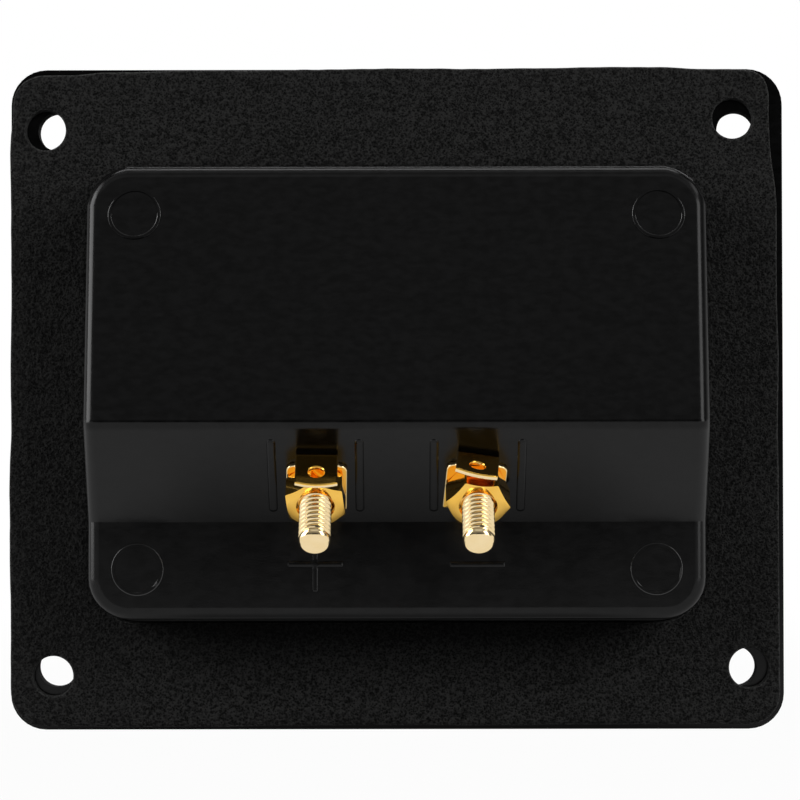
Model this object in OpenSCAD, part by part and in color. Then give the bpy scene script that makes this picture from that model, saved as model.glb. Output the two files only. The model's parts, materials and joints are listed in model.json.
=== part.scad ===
// Recessed speaker terminal cup with two binding posts.
// X runs to the right as seen from inside the cabinet, Y runs out of the front, Z runs up.
// The origin is the middle of the four screw holes, on the face of the flange that the gasket covers.

/* [Flange] */
// Width of the flange
flange_w = 100; // [96:1:130]
// Height of the flange
flange_h = 85.5; // [82:0.5:110]
// Thickness of the flange
flange_t = 3; // [2.5:0.1:5]
// Radius of the flange's corners
flange_corner_r = 4.6; // [3:0.1:6]
// Rounding of the flange's front edge
flange_front_r = 1.2; // [0.5:0.1:1.8]

/* [Screw holes] */
// Diameter of the screw holes
hole_d = 5; // [3.5:0.1:5.4]
// Hole centre to the flange's side edge
hole_edge_x = 6; // [5:0.1:6.5]
// Hole centre to the flange's top or bottom edge
hole_edge_z = 8; // [5:0.1:9]

/* [Gasket] */
// Thickness of the foam gasket
gasket_t = 2; // [1:0.1:4]
// How far the gasket's edge stays inside the flange's edge
gasket_inset = 0.4; // [0:0.1:1]
// Gap between the gasket's window and the cup
gasket_gap = 0.8; // [0.3:0.1:1.5]
// Gap round a screw in the gasket, beyond the flange's hole
gasket_hole_gap = 0.4; // [0.2:0.1:0.6]

/* [Cup] */
// Flange left bare at each side of the cup
border_x = 10.6; // [9:0.1:14]
// Flange left bare above and below the cup, on average
border_z = 13.7; // [11:0.1:16]
// Middle of the cup above the middle of the flange
cup_rise = 0.5; // [0:0.1:1]
// Radius of the cup's upright corners
cup_corner_r = 5.8; // [4.5:0.1:8]
// Draft of the cup's walls in degrees
draft = 2.5; // [0.5:0.1:4]
// Wall thickness
wall = 2.5; // [2:0.1:3]
// Rounding of the cup's outer edges
edge_r = 1.5; // [0.6:0.1:1.8]
// Rounding of the edges inside the recess
inner_r = 0.8; // [0.3:0.1:1.2]
// Flare of the recess at the front face
lip = 0.8; // [0.3:0.1:1.2]

/* [Panels] */
// Depth of the ridge behind the flange
ridge_depth = 27; // [25:0.5:34]
// Ridge below the middle of the cup
ridge_drop = 4.2; // [0:0.1:5]
// How much the upper panel falls from the ridge to its top edge
upper_fall = 9; // [4:0.5:11]
// Slope of the terminal band against the flange in degrees
band_angle = 45; // [35:1:50]
// Length of the terminal band down its slope
band_len = 17; // [16:0.5:18]

/* [Moulded details] */
// Width of a rib beside a post
rib_w = 1.1; // [0.8:0.1:1.5]
// Height of a rib
rib_h = 0.5; // [0.3:0.1:0.8]
// Length of a rib
rib_len = 12.6; // [10:0.1:13]
// Distance between the two ribs of a post
rib_pitch = 10.8; // [10:0.1:12]
// Middle of a rib to the foot of the band
rib_to_foot = 8.2; // [7.8:0.1:8.5]
// Diameter of an ejector ring mark
ring_d = 6.4; // [4:0.1:8]
// Width of a ring mark's line
ring_line = 0.3; // [0.2:0.05:0.5]
// Height of a ring mark's line
ring_h = 0.15; // [0.1:0.05:0.3]
// Middle of a ring mark to the outline of the cup's foot
ring_edge = 6.9; // [6:0.1:9]

/* [Binding posts] */
// Distance between the two posts
post_pitch = 20; // [18:0.5:26]
// Post axis to the foot of the band
post_to_foot = 7; // [6.5:0.1:8]
// Diameter of the threaded stud
stud_d = 4; // [3:0.1:4.4]
// Stud beyond the nut
stud_free = 6.3; // [3:0.1:9]
// Chamfer at the stud's tip
stud_chamfer = 0.5; // [0.2:0.05:0.8]
// Diameter of the keyed shank in the panel
shank_d = 5.6; // [5:0.1:6]
// Width across the shank's two flats
shank_flats = 4.6; // [4.4:0.1:4.9]
// Gap round the shank in its hole
shank_gap = 0.1; // [0.05:0.05:0.2]
// Diameter of the collar
collar_d = 10; // [9:0.1:11]
// Thickness of the collar
collar_t = 2; // [1.2:0.1:3]
// Depth of the collar's seat in the panel
seat_depth = 0.5; // [0.2:0.1:0.8]
// Gap round the collar in its seat
seat_gap = 0.15; // [0.1:0.05:0.3]
// Diameter of the barrel that the cap screws on
barrel_d = 5.9; // [5.6:0.1:6.4]
// Length of the barrel
barrel_len = 15.3; // [13:0.1:16]
// Diameter of the plug socket
socket_d = 4.1; // [3.5:0.1:4.4]
// Depth of the plug socket
socket_depth = 11.5; // [9:0.1:12]
// Diameter of the wire hole
wire_d = 2.6; // [1.5:0.1:2.8]
// Gap between the wire hole and the collar
wire_gap = 0.3; // [0.1:0.1:0.5]

/* [Caps] */
// Gap of the clamp bush on the barrel, on the radius
bush_gap = 0.05; // [0.03:0.01:0.1]
// Diameter of the clamp bush's sleeve
bush_d = 8.4; // [7.8:0.1:9]
// Length of the clamp bush
bush_len = 8; // [6:0.1:10]
// Diameter of the clamp bush's rim
bush_rim_d = 11; // [10:0.1:11.6]
// Thickness of the clamp bush's rim
bush_rim_t = 1.2; // [0.8:0.1:2]
// Gap between faces that press together when the cap is tight
face_gap = 0.05; // [0.03:0.01:0.1]
// Gap of the cap on the clamp bush, on the radius
cap_gap = 0.05; // [0.03:0.01:0.1]
// Diameter of the cap
cap_d = 12; // [11.6:0.1:13]
// Length of the cap
cap_len = 15; // [13:0.1:17]
// Diameter of the opening at the cap's end
mouth_d = 6.8; // [6.6:0.1:7.4]
// Rounding of the cap's end
cap_end_r = 1.4; // [0.5:0.1:1.8]
// Number of grip flutes
flutes = 18; // [12:1:24]
// Radius of a flute
flute_r = 0.55; // [0.3:0.05:0.7]
// Plain length at each end of the flutes
flute_end = 2.2; // [2:0.1:3]

/* [Nuts and solder tabs] */
// Width of a nut across its flats
nut_af = 7; // [6.5:0.1:7.5]
// Thickness of a nut
nut_t = 3.6; // [2.2:0.1:4]
// Gap of a nut on the stud, on the radius
nut_gap = 0.05; // [0.02:0.01:0.1]
// Countersink at both ends of a nut's hole
nut_sink = 0.35; // [0.1:0.05:0.6]
// Turn of the positive nut in degrees
positive_nut_turn = -24; // [-30:1:30]
// Turn of the negative nut in degrees
negative_nut_turn = -7; // [-30:1:30]
// Thickness of a solder tab
tab_t = 0.6; // [0.4:0.1:1]
// Width of a tab's base
tab_w = 7.6; // [7:0.1:8.5]
// Tab below the post axis
tab_below = 4.2; // [3:0.1:4.6]
// Tab above the post axis
tab_above = 3.5; // [2.8:0.1:4]
// Rounding of the base's corners beside the neck
tab_corner_r = 1; // [0.3:0.1:1.1]
// Start of the lug's bend above the post axis
bend_start = 4.5; // [3.9:0.1:5]
// Inner radius of the bend
bend_r = 0.5; // [0.3:0.1:0.8]
// Width of the lug
lug_w = 5.2; // [4:0.1:6]
// Length of the lug past the bend
lug_len = 5.3; // [4.5:0.1:6]
// Radius of the lug's end
lug_end_r = 7.5; // [3:0.1:9]
// Diameter of the lug's hole
lug_hole_d = 2.2; // [1.5:0.1:2.8]
// Middle of the lug's hole to the lug's end
lug_hole_end = 2.4; // [2:0.1:2.6]
// Bend of the positive lug in degrees
positive_lug_angle = 86; // [60:1:95]
// Bend of the negative lug in degrees
negative_lug_angle = 72; // [60:1:95]
// Slant of the negative lug's bend across its tab in degrees
negative_lug_slant = -8; // [-12:1:12]
// Turn of the positive tab in degrees
positive_tab_turn = -1; // [-10:1:10]
// Turn of the negative tab in degrees
negative_tab_turn = -4; // [-10:1:10]
// Gap of a tab on the stud, on the radius
tab_gap = 0.4; // [0.35:0.05:0.6]
// Shift of the positive tab to the right within that gap
positive_tab_shift = 0.1; // [-0.3:0.05:0.3]
// Shift of the negative tab to the right within that gap
negative_tab_shift = -0.3; // [-0.3:0.05:0.3]

/* [Hidden] */

// Fine circles, coarser ones in the flange's rounding, and steps in a quarter turn of the cup's roundings
fine = 96;
shell_fn = 32;
arc_steps = 8;
// How softly the ridge turns over
ridge_blend = 0.9;
// Flats in the bend of a solder tab, and how far the bend runs on into the neck and the lug
bend_steps = 12;
bend_lap = 0.7;
// How far cuts run past what they cut
cut = 1;

cup_w = flange_w - 2 * border_x;
cup_h = flange_h - 2 * border_z;
hole_x = flange_w / 2 - hole_edge_x;
hole_z = flange_h / 2 - hole_edge_z;

// Heights of the panels' edges, from the middle of the cup
ridge_z = -ridge_drop;
step_depth = ridge_depth - band_len * sin(band_angle);
foot_z = ridge_z - band_len * cos(band_angle);
upper_run = cup_h / 2 - ridge_z;
upper_slope = atan(upper_fall / upper_run);

// Post axes, where they pass through the outer face of the band
post_z = cup_rise + foot_z + post_to_foot * cos(band_angle);
post_depth = step_depth + post_to_foot * sin(band_angle);

// Heights along a post, measured from the outer face of the band towards the front
seat_u = wall - seat_depth;
collar_u = seat_u + collar_t;
bush_u = collar_u + face_gap;
cap_u = bush_u + bush_rim_t + face_gap;
barrel_end_u = collar_u + barrel_len;
wire_u = collar_u + wire_gap + wire_d / 2;

module rounded_rect(w, h, r, fn = fine) {
    square([w - 2 * r, h], center = true);
    square([w, h - 2 * r], center = true);
    for (x = [-1, 1], z = [-1, 1])
        translate([x * (w / 2 - r), z * (h / 2 - r)])
            circle(r, $fn = fn);
}

// Turns a flat outline in X and Z into a plate that runs from y to y + t
module plate(y, t) {
    translate([0, y + t, 0])
        rotate([90, 0, 0])
            linear_extrude(t)
                children();
}

module screw_holes(d, y, t) {
    for (x = [-1, 1], z = [-1, 1])
        translate([x * hole_x, y + t, z * hole_z])
            rotate([90, 0, 0])
                cylinder(h = t, d = d, $fn = fine);
}

// Depth of the panels behind the flange at height z, for a surface set inwards by inset
function upper_depth(z, inset) = ridge_depth - (z - ridge_z) * tan(upper_slope) - inset / cos(upper_slope);
function band_depth(z, inset) = ridge_depth + (z - ridge_z) * tan(band_angle) - inset / cos(band_angle);
function soft_min(a, b, blend) = min(a, b) - pow(max(blend - abs(a - b), 0), 2) / blend / 4;
function panel_depth(z, inset) =
    max(step_depth - inset, soft_min(upper_depth(z, inset), band_depth(z, inset), ridge_blend));

// Heights of the ridge and of the band's foot on that surface
function ridge_at(inset) =
    ridge_z + inset * (1 / cos(band_angle) - 1 / cos(upper_slope)) / (tan(band_angle) + tan(upper_slope));
function foot_at(inset) = foot_z + inset * (1 / cos(band_angle) - 1) / tan(band_angle);

// Stations down the right side of the outline: the middle of the corner arc and the direction out of it
function stations(inset) =
    let (
        r = cup_corner_r - inset,
        x = cup_w / 2 - inset - r,
        z = cup_h / 2 - inset - r,
        half_blend = ridge_blend / (tan(band_angle) + tan(upper_slope))
    )
    concat(
        [for (i = [0 : arc_steps]) [x, z, 90 - 90 * i / arc_steps]],
        [for (i = [-2 : 2]) [x, ridge_at(inset) - half_blend * i / 2, 0]],
        [[x, foot_at(inset), 0]],
        [for (i = [0 : arc_steps]) [x, -z, -90 * i / arc_steps]]
    );

// A point of the wall's edge rounding at one station: turn 0 is on the wall, turn 90 on the panel
function edge_point(at, inset, r, turn) =
    let (
        radius = cup_corner_r - inset - r * (1 - cos(turn)),
        near = panel_depth(at[1] + radius * sin(at[2]), inset),
        out = radius - (near - r * (1 - sin(turn))) * tan(draft),
        z = at[1] + out * sin(at[2])
    )
    [at[0] + out * cos(at[2]), r * (1 - sin(turn)) - panel_depth(z, inset), z];

function front_point(at, inset, front) =
    let (out = cup_corner_r - inset + front * tan(draft))
    [at[0] + out * cos(at[2]), front, at[1] + out * sin(at[2])];

// A ring goes down the right side and back up the left one
function mirrored(side) = concat(side, [for (i = [len(side) - 1 : -1 : 0]) [-side[i][0], side[i][1], side[i][2]]]);

// Lofted form of the cup, set inwards by inset, with its edges rounded and its front end flat
module cup_form(inset, r, front) {
    right = stations(inset);
    half = len(right);
    n = 2 * half;
    rings = concat(
        [mirrored([for (at = right) front_point(at, inset, front)])],
        [for (k = [0 : arc_steps]) mirrored([for (at = right) edge_point(at, inset, r, 90 * k / arc_steps)])]
    );
    last = (len(rings) - 1) * n;
    walls = [
        for (k = [0 : len(rings) - 2], i = [0 : n - 1])
            let (j = (i + 1) % n)
            each [
                [k * n + i, k * n + j, k * n + n + j],
                [k * n + i, k * n + n + j, k * n + n + i]
            ]
    ];
    panels = [
        for (i = [0 : half - 2])
            [last + i, last + i + 1, last + n - 2 - i, last + n - 1 - i]
    ];
    translate([0, 0, cup_rise])
        polyhedron(
            points = [for (ring = rings) each ring],
            faces = concat([[for (i = [n - 1 : -1 : 0]) i]], walls, panels)
        );
}

module flange_plate() {
    r = flange_corner_r;
    hull()
        for (x = [-1, 1], z = [-1, 1])
            translate([x * (flange_w / 2 - r), flange_t, z * (flange_h / 2 - r)])
                rotate([90, 0, 0])
                    rotate_extrude($fn = shell_fn)
                        flange_edge(r);
}

// Half section of a flange corner: square towards the gasket, rounded at the front
module flange_edge(r) {
    square([r - flange_front_r, flange_t]);
    translate([0, flange_front_r])
        square([r, flange_t - flange_front_r]);
    translate([r - flange_front_r, flange_front_r])
        circle(flange_front_r, $fn = shell_fn / 2);
}

// Flare where the recess meets the flange's front face
module recess_lip() {
    throat_w = cup_w - 2 * wall + 2 * flange_t * tan(draft);
    throat_h = cup_h - 2 * wall + 2 * flange_t * tan(draft);
    flare = 4 * lip;
    translate([0, flange_t - lip, cup_rise])
        rotate([-90, 0, 0])
            linear_extrude(2 * lip, scale = [1 + flare / throat_w, 1 + flare / throat_h])
                rounded_rect(throat_w, throat_h, cup_corner_r - wall, shell_fn);
}

// Places children at a post, with their Z axis along the post towards the front
module at_post(side) {
    translate([side * post_pitch / 2, -post_depth, post_z])
        rotate([band_angle - 90, 0, 0])
            children();
}

// Places children behind a post, with Z along the stud towards its tip and Y up the band
module at_stud(side) {
    at_post(side)
        rotate([180, 0, 0])
            children();
}

module keyed_shank(d, flats, u, h) {
    translate([0, 0, u])
        intersection() {
            cylinder(h = h, d = d, $fn = fine);
            translate([-flats / 2, -d, 0])
                cube([flats, 2 * d, h]);
        }
}

module post_hole(side) {
    at_post(side) {
        keyed_shank(shank_d + 2 * shank_gap, shank_flats + 2 * shank_gap, -cut, wall + 2 * cut);
        translate([0, 0, seat_u])
            cylinder(h = seat_depth + cut, d = collar_d + 2 * seat_gap, $fn = fine);
    }
}

// The pair of ribs that flank a post on the band
module ribs(side) {
    at_stud(side)
        for (x = [-1, 1])
            translate([x * rib_pitch / 2, rib_to_foot - post_to_foot, -wall / 2])
                linear_extrude(wall / 2 + rib_h) {
                    square([rib_w, rib_len - rib_w], center = true);
                    for (y = [-1, 1])
                        translate([0, y * (rib_len - rib_w) / 2])
                            circle(d = rib_w, $fn = fine);
                }
}

module ring_mark(x) {
    translate([x, 0, -wall / 2])
        difference() {
            cylinder(h = wall / 2 + ring_h, d = ring_d, $fn = fine);
            translate([0, 0, -cut])
                cylinder(h = wall + ring_h + 2 * cut, d = ring_d - 2 * ring_line, $fn = fine);
        }
}

// Ejector ring marks: two near the top of the upper panel, two on the lower panel
module ring_marks() {
    ring_x = cup_w / 2 - ring_edge;
    ring_z = cup_h / 2 - ring_edge;
    for (side = [-1, 1]) {
        translate([0, -upper_depth(ring_z, 0), cup_rise + ring_z])
            rotate([90 - upper_slope, 0, 0])
                ring_mark(side * ring_x);
        translate([0, -step_depth, cup_rise - ring_z])
            rotate([90, 0, 0])
                ring_mark(side * ring_x);
    }
}

module cup_housing() {
    color("#1d1d1f")
        difference() {
            union() {
                flange_plate();
                cup_form(0, edge_r, flange_t / 2);
                ribs(-1);
                ribs(1);
                ring_marks();
            }
            cup_form(wall, inner_r, flange_t + cut);
            recess_lip();
            screw_holes(hole_d, -cut, flange_t + 2 * cut);
            post_hole(-1);
            post_hole(1);
        }
}

module foam_gasket() {
    color("#2a2a2a")
        difference() {
            plate(-gasket_t, gasket_t)
                difference() {
                    rounded_rect(
                        flange_w - 2 * gasket_inset,
                        flange_h - 2 * gasket_inset,
                        flange_corner_r - gasket_inset
                    );
                    translate([0, cup_rise])
                        rounded_rect(
                            cup_w + 2 * gasket_gap,
                            cup_h + 2 * gasket_gap,
                            cup_corner_r + gasket_gap
                        );
                }
            screw_holes(hole_d + 2 * gasket_hole_gap, -gasket_t - cut, gasket_t + 2 * cut);
        }
}

// Turned post: stud, keyed shank, collar and socketed barrel with its wire hole
module post(side) {
    stud_end = tab_t + nut_t + stud_free;
    color("#d8b24a")
        at_post(side)
            difference() {
                union() {
                    rotate([180, 0, 0])
                        rotate_extrude($fn = fine)
                            polygon([
                                [0, -seat_u],
                                [stud_d / 2, -seat_u],
                                [stud_d / 2, stud_end - stud_chamfer],
                                [stud_d / 2 - stud_chamfer, stud_end],
                                [0, stud_end]
                            ]);
                    keyed_shank(shank_d, shank_flats, face_gap, seat_u - face_gap);
                    translate([0, 0, seat_u])
                        cylinder(h = collar_t, d = collar_d, $fn = fine);
                    translate([0, 0, collar_u])
                        cylinder(h = barrel_len, d = barrel_d, $fn = fine);
                }
                translate([0, 0, barrel_end_u - socket_depth])
                    cylinder(h = socket_depth + cut, d = socket_d, $fn = fine);
                translate([0, 0, wire_u])
                    rotate([0, 90, 0])
                        cylinder(h = 2 * barrel_d, d = wire_d, center = true, $fn = fine);
            }
}

// Brass bush inside a cap: its rim clamps the wire, its sleeve runs on the barrel
module clamp_bush(side) {
    color("#d8b24a")
        at_post(side)
            translate([0, 0, bush_u])
                difference() {
                    union() {
                        cylinder(h = bush_rim_t, d = bush_rim_d, $fn = fine);
                        cylinder(h = bush_len, d = bush_d, $fn = fine);
                    }
                    translate([0, 0, -cut])
                        cylinder(h = bush_len + 2 * cut, d = barrel_d + 2 * bush_gap, $fn = fine);
                }
}

// Moulded cap: fluted grip round the bush, with an opening for the plug at its end
module cap(side, tint) {
    bore_h = bush_len - bush_rim_t + face_gap;
    color(tint)
        at_post(side)
            translate([0, 0, cap_u])
                difference() {
                    rotate_extrude($fn = fine) {
                        square([cap_d / 2 - cap_end_r, cap_len]);
                        square([cap_d / 2, cap_len - cap_end_r]);
                        translate([cap_d / 2 - cap_end_r, cap_len - cap_end_r])
                            circle(cap_end_r, $fn = fine);
                    }
                    translate([0, 0, -cut])
                        cylinder(h = bore_h + cut, d = bush_d + 2 * cap_gap, $fn = fine);
                    translate([0, 0, -cut])
                        cylinder(h = cap_len + 2 * cut, d = mouth_d, $fn = fine);
                    for (i = [0 : flutes - 1])
                        rotate([0, 0, i * 360 / flutes])
                            translate([cap_d / 2, 0, flute_end])
                                cylinder(h = cap_len - 2 * flute_end, r = flute_r, $fn = fine);
                }
}

// Hex nut with both faces chamfered to a circle across the flats, and a countersunk hole
module nut(side, turn) {
    bore_r = stud_d / 2 + nut_gap;
    corner_d = nut_af / cos(30);
    chamfer = (corner_d - nut_af) / 2 * tan(30);
    color("#d8b24a")
        at_stud(side)
            translate([0, 0, tab_t])
                rotate([0, 0, turn])
                    difference() {
                        intersection() {
                            cylinder(h = nut_t, d = corner_d, $fn = 6);
                            rotate_extrude($fn = fine)
                                polygon([
                                    [0, 0],
                                    [nut_af / 2, 0],
                                    [corner_d / 2, chamfer],
                                    [corner_d / 2, nut_t - chamfer],
                                    [nut_af / 2, nut_t],
                                    [0, nut_t]
                                ]);
                        }
                        rotate_extrude($fn = fine)
                            polygon([
                                [0, -cut],
                                [bore_r + nut_sink + cut, -cut],
                                [bore_r, nut_sink],
                                [bore_r, nut_t - nut_sink],
                                [bore_r + nut_sink + cut, nut_t + cut],
                                [0, nut_t + cut]
                            ]);
                    }
}

// Sheet solder tab: a base under the nut, a neck, a bend and a drilled lug
module solder_tab(side, turn, shift, lug_angle, slant) {
    color("#d8b24a")
        at_stud(side)
            rotate([0, 0, turn])
                translate([shift, 0, 0])
                    difference() {
                        union() {
                            linear_extrude(tab_t)
                                tab_base();
                            translate([0, bend_start, 0])
                                rotate([0, 0, slant])
                                    bent_lug(lug_angle, slant);
                        }
                        translate([0, 0, -cut])
                            cylinder(h = tab_t + 2 * cut, d = stud_d + 2 * tab_gap, $fn = fine);
                    }
}

// Outline of a tab's base, rounded beside the neck, and of the neck up to the bend
module tab_base() {
    translate([-tab_w / 2, -tab_below])
        square([tab_w, tab_below + tab_above - tab_corner_r]);
    translate([tab_corner_r - tab_w / 2, -tab_below])
        square([tab_w - 2 * tab_corner_r, tab_below + tab_above]);
    for (x = [-1, 1])
        translate([x * (tab_w / 2 - tab_corner_r), tab_above - tab_corner_r])
            circle(tab_corner_r, $fn = fine);
    translate([-lug_w / 2, 0])
        square([lug_w, bend_start]);
}

// Bend that may slant across the neck, and the lug past it, whose outline stays in line with the tab
module bent_lug(lug_angle, slant) {
    bend_len = lug_angle * PI / 180 * (bend_r + tab_t / 2);
    translate([-lug_w / 2, 0, 0])
        rotate([90, 0, 90])
            linear_extrude(lug_w)
                bend_section(lug_angle);
    translate([0, 0, tab_t + bend_r])
        rotate([lug_angle, 0, 0])
            translate([bend_len * tan(slant), 0, -bend_r - tab_t])
                rotate([0, 0, -slant])
                    linear_extrude(tab_t)
                        difference() {
                            translate([-lug_w / 2, 0])
                                square([lug_w, lug_len]);
                            lug_trim();
                        }
}

// Side view of the bend, with a short straight run at both ends
module bend_section(lug_angle) {
    centre = [0, tab_t + bend_r];
    along = [cos(lug_angle), sin(lug_angle)];
    steps = [0 : lug_angle / bend_steps : lug_angle];
    outer = [for (a = steps) centre + (bend_r + tab_t) * [sin(a), -cos(a)]];
    inner = [for (a = steps) centre + bend_r * [sin(lug_angle - a), -cos(lug_angle - a)]];
    polygon(concat(
        [[-bend_lap, 0]],
        outer,
        [outer[bend_steps] + bend_lap * along, inner[0] + bend_lap * along],
        inner,
        [[-bend_lap, tab_t]]
    ));
}

// What is cut from a square lug: the corners past its round end, and its hole
module lug_trim() {
    difference() {
        translate([-lug_w, lug_len - lug_end_r])
            square([2 * lug_w, lug_end_r + cut]);
        translate([0, lug_len - lug_end_r])
            circle(lug_end_r, $fn = fine);
    }
    translate([0, lug_len - lug_hole_end])
        circle(d = lug_hole_d, $fn = fine);
}

module positive_post() { post(-1); }
module positive_clamp_bush() { clamp_bush(-1); }
module positive_cap() { cap(-1, "#b3161b"); }
module positive_solder_tab() { solder_tab(-1, positive_tab_turn, positive_tab_shift, positive_lug_angle, 0); }
module positive_nut() { nut(-1, positive_nut_turn); }
module negative_post() { post(1); }
module negative_clamp_bush() { clamp_bush(1); }
module negative_cap() { cap(1, "#161616"); }
module negative_solder_tab() {
    solder_tab(1, negative_tab_turn, negative_tab_shift, negative_lug_angle, negative_lug_slant);
}
module negative_nut() { nut(1, negative_nut_turn); }

cup_housing();
foam_gasket();
positive_post();
positive_clamp_bush();
positive_cap();
positive_solder_tab();
positive_nut();
negative_post();
negative_clamp_bush();
negative_cap();
negative_solder_tab();
negative_nut();
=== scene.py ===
import json
import math
import random

import bmesh
import bpy
from mathutils import Matrix, Vector, noise
from mathutils.geometry import delaunay_2d_cdt


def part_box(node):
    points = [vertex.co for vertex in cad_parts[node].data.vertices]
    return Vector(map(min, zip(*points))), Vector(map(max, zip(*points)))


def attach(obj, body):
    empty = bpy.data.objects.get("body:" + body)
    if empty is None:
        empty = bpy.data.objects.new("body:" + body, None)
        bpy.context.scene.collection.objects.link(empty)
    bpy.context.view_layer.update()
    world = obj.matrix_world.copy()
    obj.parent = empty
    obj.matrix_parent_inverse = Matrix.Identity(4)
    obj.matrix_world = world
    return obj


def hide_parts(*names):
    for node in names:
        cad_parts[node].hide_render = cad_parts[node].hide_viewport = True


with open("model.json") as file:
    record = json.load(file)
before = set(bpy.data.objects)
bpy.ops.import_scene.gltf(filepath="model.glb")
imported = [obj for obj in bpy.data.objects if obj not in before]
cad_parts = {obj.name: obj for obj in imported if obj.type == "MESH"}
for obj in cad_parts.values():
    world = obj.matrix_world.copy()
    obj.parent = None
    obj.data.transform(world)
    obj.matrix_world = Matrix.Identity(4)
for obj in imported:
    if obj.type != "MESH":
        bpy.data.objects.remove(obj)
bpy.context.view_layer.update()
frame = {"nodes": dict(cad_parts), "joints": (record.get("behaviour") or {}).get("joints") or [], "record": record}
random.seed(11)

# What the frame says, in millimetres where it is used for shapes
MM = 0.001
TINY = 1e-6
JOINTS = {j["name"]: j for j in frame["joints"]}
DIMS = {m["name"]: m["dims"] for m in frame["record"]["mounts"]}
HOUSING_LOW, _ = (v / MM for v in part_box("cup_housing"))
GASKET_LOW, GASKET_HIGH = (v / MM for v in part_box("foam_gasket"))
HOLE_X = DIMS["mounting_holes"]["spacing_x_mm"] / 2
HOLE_Z = DIMS["mounting_holes"]["spacing_y_mm"] / 2

# Sizes of the housing's solid, in millimetres
CUP_HALF_W = 39.4
CUP_HALF_H = 29.05
CUP_RISE = 0.5
CUP_CORNER_R = 5.8
STEP_DEPTH = 14.979
UPPER_SLOPE = 0.2707
RIB_H = 0.5
RING_R = 3.2
RING_X = 32.5
RING_HIGH_Z = 23.1
RING_LOW_Z = -21.65

# Sizes of the terminals' solids, in millimetres; heights along a post are from the band's rear face
FIT_GAP = 0.05
TAB_T = 0.6
TAB_W = 7.6
TAB_BELOW = 4.2
TAB_ABOVE = 3.5
TAB_CORNER_R = 1.0
TAB_GAP = 0.4
BEND_START = 4.5
BEND_R = 0.5
LUG_W = 5.2
LUG_LEN = 5.3
LUG_END_R = 7.5
LUG_HOLE_END = 2.4
LUG_HOLE_R = DIMS["positive_lug_hole"]["r_mm"]
NUT_T = 3.6
NUT_AF = 7.0
NUT_SINK = 0.35
STUD_R = DIMS["positive_stud"]["r_mm"]
STUD_END = TAB_T + NUT_T + DIMS["positive_stud"]["length_mm"]
SHANK_R = 2.8
SHANK_HALF_FLAT = 2.3
SEAT_U = 2.0
COLLAR_R = 5.0
COLLAR_U = SEAT_U + 2.0
BARREL_R = DIMS["positive_wire_hole"]["length_mm"] / 2
BARREL_END = COLLAR_U + 15.3
SOCKET_R = DIMS["positive_socket"]["r_mm"]
SOCKET_DEPTH = DIMS["positive_socket"]["length_mm"]
WIRE_R = DIMS["positive_wire_hole"]["r_mm"]
WIRE_GAP = 0.3
BUSH_LEN = 8.0
BUSH_RIM_T = 1.2
BUSH_R = 4.2
CAP_R = 6.0
CAP_LEN = 15.0
CAP_END_R = 1.4
MOUTH_R = 3.4
FLUTES = 18
FLUTE_R = 0.55
FLUTE_END = 2.2

# How each side's nut and tab were tightened and bent, in degrees and millimetres
SIDES = {
    "positive": {"nut_turn": -24, "tab_turn": -1, "tab_shift": 0.1, "lug_angle": 86, "slant": 0},
    "negative": {"nut_turn": -7, "tab_turn": -4, "tab_shift": -0.3, "lug_angle": 72, "slant": -8},
}


# Materials

def grey(level):
    return (level, level, level)


def new_material(name):
    mat = bpy.data.materials.new(name)
    mat.use_nodes = True
    tree = mat.node_tree
    shader = tree.nodes["Principled BSDF"]
    coords = tree.nodes.new("ShaderNodeTexCoord").outputs["Object"]
    return mat, tree, shader, coords


def noise_node(tree, coords, scale, detail, stretch=None):
    if stretch:
        mapping = tree.nodes.new("ShaderNodeMapping")
        mapping.inputs["Scale"].default_value = stretch
        tree.links.new(coords, mapping.inputs["Vector"])
        coords = mapping.outputs["Vector"]
    node = tree.nodes.new("ShaderNodeTexNoise")
    node.inputs["Scale"].default_value = scale
    node.inputs["Detail"].default_value = detail
    tree.links.new(coords, node.inputs["Vector"])
    return node.outputs["Fac"]


def ramp_node(tree, fac, stops):
    """A colour ramp with two stops, each a place and a colour."""
    node = tree.nodes.new("ShaderNodeValToRGB")
    for element, (place, colour) in zip(node.color_ramp.elements, stops):
        element.position = place
        element.color = (*colour, 1)
    tree.links.new(fac, node.inputs["Fac"])
    return node.outputs["Color"]


def range_node(tree, value, low, high, start=0.3, end=0.7):
    """A value that goes from low to high while the input goes from start to end."""
    node = tree.nodes.new("ShaderNodeMapRange")
    node.inputs["From Min"].default_value = start
    node.inputs["From Max"].default_value = end
    node.inputs["To Min"].default_value = low
    node.inputs["To Max"].default_value = high
    tree.links.new(value, node.inputs["Value"])
    return node.outputs["Result"]


def feed(tree, place, value):
    """Sets an input to a plain number, or links a socket to it."""
    if isinstance(value, (int, float)):
        place.default_value = value
    else:
        tree.links.new(value, place)


def math_node(tree, operation, *values):
    node = tree.nodes.new("ShaderNodeMath")
    node.operation = operation
    for place, value in zip(node.inputs, values):
        feed(tree, place, value)
    return node.outputs[0]


def mix_node(tree, factor, a, b):
    """The value a where the factor is nought, and b where it is one."""
    node = tree.nodes.new("ShaderNodeMix")
    feed(tree, node.inputs["Factor"], factor)
    feed(tree, node.inputs["A"], a)
    feed(tree, node.inputs["B"], b)
    return node.outputs["Result"]


def bump_node(tree, height, strength, distance, before=None):
    node = tree.nodes.new("ShaderNodeBump")
    node.inputs["Strength"].default_value = strength
    node.inputs["Distance"].default_value = distance
    tree.links.new(height, node.inputs["Height"])
    if before:
        tree.links.new(before, node.inputs["Normal"])
    return node.outputs["Normal"]


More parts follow.
